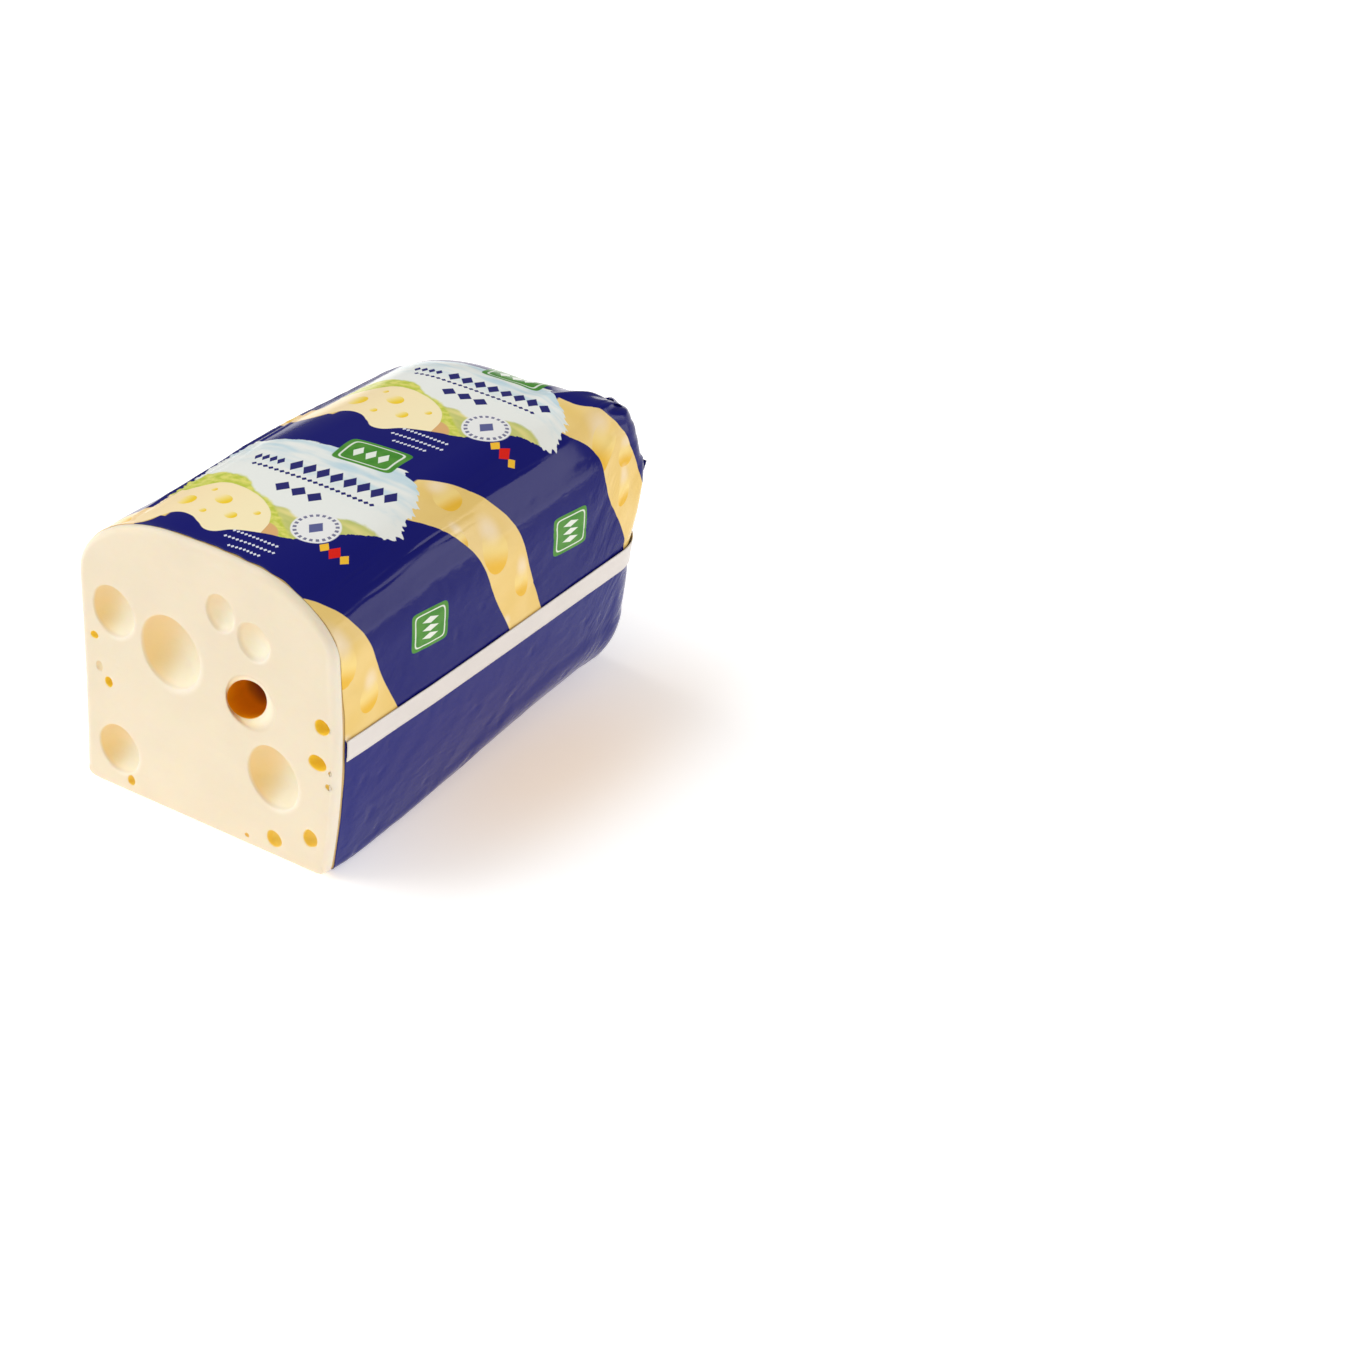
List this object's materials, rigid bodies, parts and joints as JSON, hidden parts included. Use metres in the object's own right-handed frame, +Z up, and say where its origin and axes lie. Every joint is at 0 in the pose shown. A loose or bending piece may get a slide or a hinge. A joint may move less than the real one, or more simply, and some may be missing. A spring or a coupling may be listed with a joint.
{
  "type": "emmental block",
  "caption": "Block of Emmental cut at one end to show its eyes, still in its printed film, with a lengthwise seam and a folded end seal.",
  "frame": {"origin": "under the middle of the pack's box, on the surface it lies on", "axes": "+Z up, +Y along the length from the cut face to the wrapped end, +X towards the wall with the lengthwise seam"},
  "size_m": [0.1154, 0.167, 0.1131],
  "materials": {
    "cheese": "moist pale cream cheese, soft and slightly translucent, with warmer yellow eyes",
    "printed_film": "thin glossy packing film printed navy with pale yellow bands, amber ovals and a pale panel on top",
    "seam": "unprinted off-white film seam, folded flat",
    "pressed_film": "heat-pressed navy film with fine crimp lines"
  },
  "bodies": {
    "root": {"cheese": "cheese", "film_wrap": "printed_film", "seam_strip": "seam", "end_seal": "pressed_film"}
  },
  "joints": []
}
